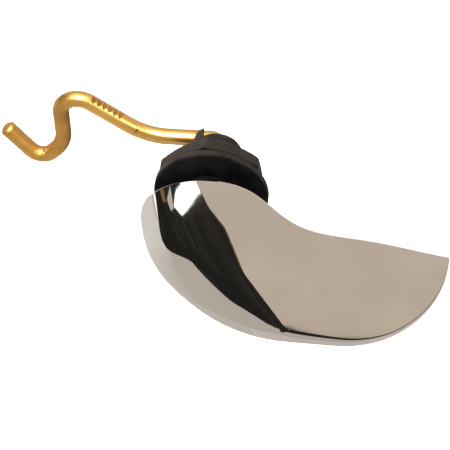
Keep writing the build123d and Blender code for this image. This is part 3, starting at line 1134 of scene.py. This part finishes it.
def thread_ridge(sizes, material):
    """The raised turns of the shank's thread, a left-hand helix."""
    inputs = dict.fromkeys(("Turns", "Root", "Length", "Ridge"), "NodeSocketFloat")
    inputs["Material"] = "NodeSocketMaterial"
    tree, given = node_tree("thread_on_shank", inputs)
    sockets = {
        "Resolution": THREAD_STEPS,
        "Rotations": given["Turns"],
        "Start Radius": given["Root"],
        "End Radius": given["Root"],
        "Height": given["Length"],
        "Reverse": True,
    }
    helix = add_node(tree, "GeometryNodeCurveSpiral", {}, sockets)
    round_bar(tree, helix, given["Ridge"], THREAD_SIDES, given["Material"])
    run = sizes.shank_length - sizes.lead_in - 2 * THREAD_MARGIN
    values = {
        "Turns": run / sizes.thread_pitch,
        "Root": sizes.shank_diameter / 2 - sizes.thread_depth,
        "Length": run,
        "Ridge": sizes.thread_depth,
        "Material": material,
    }
    piece = grown("shank_thread", bpy.data.meshes.new("thread_seed"), tree, values)
    onto_spindle = Matrix.Translation((0, THREAD_MARGIN, 0)) @ Matrix.Rotation(-math.pi / 2, 4, "X")
    piece.data.transform(onto_spindle)
    return piece


WASHER_SEGMENTS = 160
WASHER_ROUND = 0.25 * MM


def clamp_washer(sizes):
    """The flat washer."""
    outer, bore, back = sizes.washer_diameter / 2, sizes.bore / 2, sizes.washer_thickness
    outline = ((bore, 0), (outer, 0), (outer, back), (bore, back))
    corners = [(radius, y, WASHER_ROUND) for radius, y in outline]
    return turned(corners, WASHER_SEGMENTS).piece("rubber_washer")


def soft_least(a, b, rounding):
    """The lesser of two values, with the corner between them rounded."""
    mix = np.clip(0.5 + 0.5 * (b - a) / rounding, 0, 1)
    return b + (a - b) * mix - rounding * mix * (1 - mix) / 2


def edge_drop(past, rounding):
    """How far a rounded edge has drawn in, some way past where its rounding starts."""
    part = np.clip(past / rounding, 0, 1)
    return rounding * (1 - math.sqrt(1 - part**2))


# Columns round the nut, and rows up its skirt and its hexagon
NUT_COLUMNS = 360
SKIRT_ROWS = 14
HEXAGON_ROWS = 46
HEXAGON_SIDES = 6
# The higher, the sharper the hexagon's corners; a flat that faces away counts for least
CORNER_SHARPNESS = 90
LEAST_FACING = 0.01
# Bevel at both ends of the nut's bore
NUT_BEVEL = 0.4 * MM


def nut_radii(sizes, hexagon, y):
    """The nut's radii all round at some y: the hexagon within its chamfer, or the skirt round it."""
    rounding, face = sizes.edge_round, sizes.face_diameter / 2
    front = sizes.washer_thickness
    back, skirt_back = front + sizes.height, front + sizes.skirt_height
    corner = sizes.across_flats / 2 / math.cos(math.pi / HEXAGON_SIDES)
    drop = (corner - face) * (y - back + sizes.chamfer_height) / sizes.chamfer_height
    side = soft_least(hexagon, np.full_like(hexagon, max(corner - drop, face)), rounding)
    skirt = 0.0
    if y < skirt_back:
        skirt = sizes.skirt_diameter / 2 - sizes.skirt_taper * (y - front) / sizes.skirt_height
        skirt -= edge_drop(y - skirt_back + rounding, rounding)
    side = -soft_least(-side, np.full_like(side, -skirt), rounding / 2)
    return side - edge_drop(rounding - y + front, rounding) - edge_drop(rounding - back + y, rounding)


def lock_nut(sizes):
    """The hexagon nut: a tapered skirt at its front, and a turned chamfer round its back."""
    front = sizes.washer_thickness
    back, skirt_back = front + sizes.height, front + sizes.skirt_height
    turn = np.linspace(0, 2 * math.pi, NUT_COLUMNS + 1)
    flats = np.arange(HEXAGON_SIDES) * 2 * math.pi / HEXAGON_SIDES - sizes.turn
    facing = np.clip(np.cos(turn[:, None] - flats), LEAST_FACING, None)
    hexagon = sizes.across_flats / 2 / (facing**CORNER_SHARPNESS).sum(1) ** (1 / CORNER_SHARPNESS)
    skirt_rows = np.linspace(front, skirt_back, SKIRT_ROWS)
    rows = np.concatenate([skirt_rows, np.linspace(skirt_back, back, HEXAGON_ROWS)[1:]])
    radii = [nut_radii(sizes, hexagon, y) for y in rows]
    c, s, ring = np.cos(turn), np.sin(turn), np.ones_like(turn)
    bore = sizes.bore / 2 * ring
    mouth = (sizes.bore / 2 + NUT_BEVEL) * ring
    lip = sizes.edge_round / 2
    grid = [(front, mouth), (front, radii[0] - lip), *zip(rows, radii)]
    grid += [(back, radii[-1] - lip), (back, mouth), (back - NUT_BEVEL, bore)]
    grid += [(front + NUT_BEVEL, bore), (front, mouth)]
    points = np.stack([np.stack([radius * c, y * ring, radius * s], -1) for y, radius in grid])
    skin = Skin()
    skin.patch(points, grid_normals(points))
    return skin.piece("hexagon_nut")


def grid_normals(points):
    """Normals of a closed grid of rows round an axis: at each point, larger faces weigh more."""
    faces = np.cross(points[1:, 1:] - points[:-1, :-1], points[1:, :-1] - points[:-1, 1:])
    total = np.zeros_like(points)
    total[:-1, :-1] += faces
    total[1:, :-1] += faces
    total[:-1, 1:] += faces
    total[1:, 1:] += faces
    total[:, 0] += total[:, -1]
    total[:, -1] = total[:, 0]
    total[0] += total[-1]
    total[-1] = total[0]
    middle = points.reshape(-1, 3).mean(0)
    outside = np.sum(total[len(total) // 2] * (points[len(points) // 2] - middle)) > 0
    return unit(total if outside else -total)


class LEVER_OT_handle(bpy.types.Operator):
    """Build the chromed paddle with its boss and spindle"""

    bl_idname = "lever.handle"
    bl_label = "Handle"

    def execute(self, context):
        sizes = context.scene.lever_paddle
        chrome = chrome_finish(context.scene.lever_finishes)
        casting = dress(handle_casting(sizes), "lever", chrome)
        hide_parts("handle")
        dress(hub_spindle(sizes), "lever", chrome)
        return {"FINISHED"}


class LEVER_OT_bushing(bpy.types.Operator):
    """Build the bushing with its thread and its stop prongs"""

    bl_idname = "lever.bushing"
    bl_label = "Bushing"

    def execute(self, context):
        sizes = context.scene.lever_bushing
        colours = context.scene.lever_finishes
        # The bushing's face carries painted shade, darker than its rim, shank and prongs
        plastic = moulded_finish("black_moulding", colours.plastic, colours.unshaded_tone)
        body = dress(bushing_body(sizes), "bushing", plastic)
        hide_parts("bushing")
        dress(stop_prongs(sizes, context.scene.lever_arm), "bushing", plastic)
        dress(thread_ridge(sizes, plastic), "bushing", plastic)
        return {"FINISHED"}


class LEVER_OT_clamp(bpy.types.Operator):
    """Build the washer and the nut"""

    bl_idname = "lever.clamp"
    bl_label = "Washer and Nut"

    def execute(self, context):
        sizes = context.scene.lever_clamp
        colours = context.scene.lever_finishes
        rubber = moulded_finish("washer_rubber", colours.rubber)
        washer = dress(clamp_washer(sizes), "washer", rubber)
        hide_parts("clamp_washer")
        moulding = moulded_finish("nut_moulding", colours.nut)
        nut = dress(lock_nut(sizes), "nut", moulding)
        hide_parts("lock_nut")
        return {"FINISHED"}


class LEVER_OT_arm(bpy.types.Operator):
    """Build the bent brass arm"""

    bl_idname = "lever.arm"
    bl_label = "Arm"

    def execute(self, context):
        brass = brass_finish(context.scene.lever_finishes)
        arm = dress(lift_arm(context.scene.lever_arm, brass), "lever", brass)
        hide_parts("lift_arm")
        return {"FINISHED"}


def panels(name, corners, faces, material):
    """A piece of the studio, made of flat faces."""
    mesh = bpy.data.meshes.new(name)
    mesh.from_pydata(corners, [], faces)
    mesh.materials.append(material)
    piece = linked(name, mesh)
    return piece


def card(name, corners, material):
    """A flat studio card with the given corners."""
    return panels(name, corners, [range(len(corners))], material)


def level(left, front, right, back, height):
    """The corners of a level rectangle."""
    return [(left, front, height), (right, front, height), (right, back, height), (left, back, height)]


def only_mirrored(piece):
    """Let a card show only in what shines: it throws no shadow and isn't seen itself."""
    piece.visible_camera = False
    piece.visible_diffuse = False
    piece.visible_shadow = False


def glowing(name, glow):
    """A finish that gives light of its own and mirrors none, as finish gives it."""
    constants = {
        "Base Color": (0, 0, 0, 1),
        "Roughness": 1,
        "Specular IOR Level": 0,
        "Emission Color": (*glow, 1),
        "Emission Strength": 1,
    }
    return finish(name, constants)


def overhead(name, outline, height, glow, streaks=None):
    """A level card above the lever. Its outline is in degrees from straight up, right and back."""
    corners = []
    for right, back in outline:
        away = math.hypot(right, back)
        reach = height * math.tan(math.radians(away)) / max(away, TINY)
        corners.append((reach * right, reach * back, height))
    material, tree, shader, place = glowing(name, glow)
    if streaks:
        cloud = noise(tree, stretched(tree, place, STREAK_STRETCH))
        start, full = STREAK_EDGE
        feed(tree, shader, "Emission Color", ramp(tree, cloud, (start, glow), (full, streaks)))
    only_mirrored(card(name, corners, material))


def bowed(start, middle, end):
    """Points on the smooth bow from start to end that passes the middle half way."""
    points = []
    for part in np.linspace(0, 1, BOW_STEPS + 1):
        weights = ((1 - part) * (1 - 2 * part), 4 * part * (1 - part), part * (2 * part - 1))
        points.append(tuple(np.dot(weights, (start, middle, end))))
    return points


def round_wall(name, outline, reach, glow):
    """An upright band round the lever: bearings with the rises of its foot and its top, in degrees."""
    corners = []
    for bearing, *rises in outline:
        turn = math.radians(bearing)
        for rise in rises:
            height = reach * math.tan(math.radians(rise))
            corners.append((reach * math.sin(turn), reach * math.cos(turn), height))
    sides = [(2 * i, 2 * i + 2, 2 * i + 3, 2 * i + 1) for i in range(len(outline) - 1)]
    only_mirrored(panels(name, corners, sides, glowing(name, glow)[0]))


def eased_wall(foot, top):
    """A wall's outline whose foot eases from each rise to the next, below a top of straight runs."""
    bearings, rises = zip(*sorted(top))
    outline = []
    for (start, low), (end, high) in zip(foot, foot[1:]):
        for part in np.linspace(0, 1, WALL_STEPS + 1):
            eased = part * part * (3 - 2 * part)
            bearing = start + part * (end - start)
            outline.append((bearing, low + eased * (high - low), np.interp(bearing, bearings, rises)))
    return outline


def floor_light(height):
    """What the chrome mirrors of the floor: light to the left, and grey in the shade at the front."""
    material, tree, shader, place = glowing("floor_light", PALE)
    right, back = SHADE_SIDE
    into_shade = coordinate(tree, place, "X") * right + coordinate(tree, place, "Y") * back
    shade = risen(tree, into_shade, *SHADE_EDGE)
    feed(tree, shader, "Emission Color", ramp(tree, shade, (0, PALE), (1, GREY)))
    only_mirrored(card("floor_light", level(*ROOM, height), material))
    for lift, (name, sides, glow) in enumerate(UNDERNEATH, 1):
        only_mirrored(card(name, level(*sides, height + lift * MM), glowing(name, glow)[0]))


# What stands round the lever, as the chrome mirrors it: its radiance
PALE = (1.06, 1.04, 1.03)
GREY = (0.73, 0.68, 0.65)
GLOOM = (0.023, 0.022, 0.021)
GLOOM_STREAKS = (0.044, 0.041, 0.038)
# The gloom's streaks: how fine they are, per metre, and where they set in and are full
STREAK_STRETCH = (4, 3, 1)
STREAK_EDGE = (0.4, 0.65)
# Outlines overhead, in degrees from straight up, to the right and to the back
DARK = ((-75, 30), (-19, 30), (-19, -4), (0, -5), (40, -6), (40, -60), (-50, -55), (-72, -25))
CEILING = (
    (-19, -7.7), (-17.8, -8.4), (-10.4, -6.5), (-12.3, -9.3), (-15.2, -12.8), (-9.9, -12),
    (-3.6, -10.2), (-1.5, -9), (0.5, -7.76), (1.3, -8), (2.9, -8.2), (6, -8), (12, -7.2),
    (40, -8), (40, 40), (-19, 40),
)
BOW_STEPS = 12
WINDOW_BOW = ((-19.6, -8), (-36.8, -14.1), (-54, -17.2))
WINDOW_REST = ((-60.9, -15.3), (-54.6, -14.1), (-42.4, -13), (-41, -10), (-19.6, 2))
FRAME = ((-62, -15.5), (-67, -15), (-68, -12.5), (-58, -12.5))
PANEL = ((-70, -12.5), (-78, -9), (-78, 0), (-68, 0))
BROWN_EDGE = ((-10.4, -6.4), (-12.3, -9.2), (-15.2, -12.7), (-16, -12.7), (-13.1, -9.2), (-11, -6.4))
STRIP = ((-35, 12), (35, 12), (35, 34), (-35, 34))
FRONT_GLOW = (
    (-22, -26.5), (-29, -31.5), (-40.1, -38), (-52.1, -41), (-61.4, -41.6), (-60, -60), (-40, -60),
)
# Each card overhead: its outline, its height in metres and its radiance, and that of its streaks
OVERHEAD = (
    ("dark_ceiling", DARK, 1.02, GLOOM, GLOOM_STREAKS),
    ("ceiling_card", CEILING, 1.0, (0.83, 0.728, 0.642)),
    ("window", (*bowed(*WINDOW_BOW), *WINDOW_REST), 0.99, (3, 3, 2.95)),
    ("window_frame", FRAME, 0.99, (0.8, 0.74, 0.68)),
    ("brown_panel", PANEL, 0.99, (0.3, 0.19, 0.1)),
    ("brown_edge", BROWN_EDGE, 1.01, (0.17, 0.095, 0.065)),
    ("strip_light", STRIP, 0.98, (1.3, 1.25, 1.2)),
    ("front_glow", FRONT_GLOW, 0.99, GREY),
)
# Round about, as bearings from the back and rises
WALL_TOP = ((290, 14), (252, 14), (232.3, 46), (225.7, 46))
WALL_FOOT = ((290, 5), (267.4, 5), (260, -7), (238.3, 22), (233.4, 15.5), (225.7, 33.4))
WALL_STEPS = 10
FRONT_WALL = ((200, 20, 46), (152, 20, 46))
GLINT = ((275, 2, 6), (267.3, 1.5, 6), (265.2, 0.5, 6), (262.4, -3.5, 6), (260.5, -6.5, 6))
# Their distances in metres: the glint stands a little way behind the walls
WALL_REACH = 0.7
GLINT_REACH = 1.05 * WALL_REACH
# Each wall: its outline, its distance and its radiance
WALLS = (
    ("front_wall", FRONT_WALL, WALL_REACH, GLOOM),
    ("dark_wall", eased_wall(WALL_FOOT, WALL_TOP), WALL_REACH, GLOOM),
    ("glint", GLINT, GLINT_REACH, (1.75, 1.75, 1.75)),
)
# Sides of the floor at the left, front, right and back, in metres, and its finish
ROOM = (-3, -3, 3, 3)
FLOOR_FINISH = {"Base Color": (0.9, 0.9, 0.9, 1), "Roughness": 0.9}
# Shade on the floor below the lever: its sides and its radiance
UNDERNEATH = (
    ("under_shade", (-0.04, -0.03, 0.4, 0.4), (0.7, 0.64, 0.6)),
    ("deep_shade", (-0.03, 0.012, 0.075, 0.3), (0.2, 0.18, 0.16)),
)
# Across the floor, the shade's edge: the way into the shade, and where it begins and is full
SHADE_SIDE = (0.225, -0.974)
SHADE_EDGE = (-0.03, 0.04)
# Each lamp: place and size in metres, power in watts and tint, and the piece if it lights only one
LAMPS = (
    ("back_light", (0.45, 0.9, 1.0), 0.7, 8, (1, 0.99, 0.97)),
    ("window_light", (-0.95, -0.3, 0.95), 0.5, 36, (1, 0.98, 0.95)),
    ("floor_fill", (0, 0, 1.6), 2.4, 22, (0.97, 0.99, 1)),
    ("arm_light", (-0.05, -0.35, 0.85), 0.7, 24, (1, 0.98, 0.95), "brass_arm"),
    ("arm_side_light", (0.5, -0.4, 0.42), 0.4, 2, (1, 0.97, 0.92), "brass_arm"),
)
# The camera's film in millimetres, and the nearest that it sees in metres
SENSOR_WIDTH = 36
CLIP_START = 0.01


def lamp(name, place, size, power, tint, only=None):
    """A soft square light that faces the seat; it shows in no mirror, or lights only one piece."""
    light = bpy.data.lights.new(name, "AREA")
    light.size = size
    light.energy = power
    light.color = tint
    holder = bpy.data.objects.new(name, light)
    holder.location = place
    holder.rotation_euler = (-Vector(place)).to_track_quat("-Z", "Y").to_euler()
    bpy.context.scene.collection.objects.link(holder)
    if only:
        lit = bpy.data.collections.new(name)
        lit.objects.link(bpy.data.objects[only])
        holder.light_linking.receiver_collection = lit
    else:
        holder.visible_glossy = False


def camera(sizes):
    """The camera, at the photograph's angle."""
    a, e = sizes.azimuth, sizes.elevation
    back = Vector((math.sin(a) * math.cos(e), -math.cos(a) * math.cos(e), math.sin(e)))
    right = Vector((math.cos(a), math.sin(a), 0))
    up = back.cross(right)
    lens = bpy.data.cameras.new("camera")
    lens.sensor_width = SENSOR_WIDTH
    lens.lens = sizes.lens
    lens.clip_start = CLIP_START
    holder = bpy.data.objects.new("camera", lens)
    holder.matrix_world = Matrix((right, up, back)).transposed().to_4x4()
    holder.location = sizes.distance * back + sizes.aside * right - sizes.below * up
    bpy.context.scene.collection.objects.link(holder)
    bpy.context.scene.camera = holder


def far_room(scene):
    """The grey of the room beyond the cards, and a plain view of its colours."""
    world = bpy.data.worlds.new("studio")
    world.use_nodes = True
    background = world.node_tree.nodes["Background"]
    background.inputs["Color"].default_value = (*GREY, 1)
    background.inputs["Strength"].default_value = 1.0
    scene.world = world
    scene.view_settings.view_transform = "Standard"


class LEVER_OT_stage(bpy.types.Operator):
    """Set up the floor, the cards, the lights and the camera"""

    bl_idname = "lever.stage"
    bl_label = "Studio"

    def execute(self, context):
        sizes = context.scene.lever_studio
        floor = CAD_BOX[0].z - sizes.floor_gap
        card("floor", level(*ROOM, floor), finish("pale_floor", FLOOR_FINISH)[0])
        floor_light(floor + MM)
        for row in OVERHEAD:
            overhead(*row)
        for row in WALLS:
            round_wall(*row)
        for row in LAMPS:
            lamp(*row)
        camera(sizes)
        far_room(context.scene)
        return {"FINISHED"}


class LEVER_PT_panel(bpy.types.Panel):
    """The lever's pieces and sizes"""

    bl_label = "Cistern Lever"
    bl_idname = "LEVER_PT_panel"
    bl_space_type = "VIEW_3D"
    bl_region_type = "UI"
    bl_category = "Lever"

    def draw(self, context):
        for operator in OPERATORS:
            self.layout.operator(operator.bl_idname)
        for group, kind in GROUPS.items():
            sizes = getattr(context.scene, group)
            box = self.layout.box()
            box.label(text=kind.__doc__)
            for key in kind.__annotations__:
                box.prop(sizes, key)


GROUPS = {
    "lever_paddle": PaddleSizes,
    "lever_bushing": BushingSizes,
    "lever_clamp": ClampSizes,
    "lever_arm": ArmSizes,
    "lever_finishes": Finishes,
    "lever_studio": StudioSizes,
}
OPERATORS = (LEVER_OT_handle, LEVER_OT_bushing, LEVER_OT_clamp, LEVER_OT_arm, LEVER_OT_stage)


def register():
    """Register the sizes, the operators and the panel."""
    for kind in (*GROUPS.values(), *OPERATORS, LEVER_PT_panel):
        bpy.utils.register_class(kind)
    for group, kind in GROUPS.items():
        setattr(bpy.types.Scene, group, bpy.props.PointerProperty(type=kind))


def unregister():
    """Take back what register did."""
    for group in GROUPS:
        delattr(bpy.types.Scene, group)
    for kind in (LEVER_PT_panel, *reversed(OPERATORS), *reversed(GROUPS.values())):
        bpy.utils.unregister_class(kind)


def main():
    """Build the lever and its studio."""
    register()
    bpy.ops.lever.handle()
    bpy.ops.lever.bushing()
    bpy.ops.lever.clamp()
    bpy.ops.lever.arm()
    bpy.ops.lever.stage()


if __name__ == "__main__":
    main()
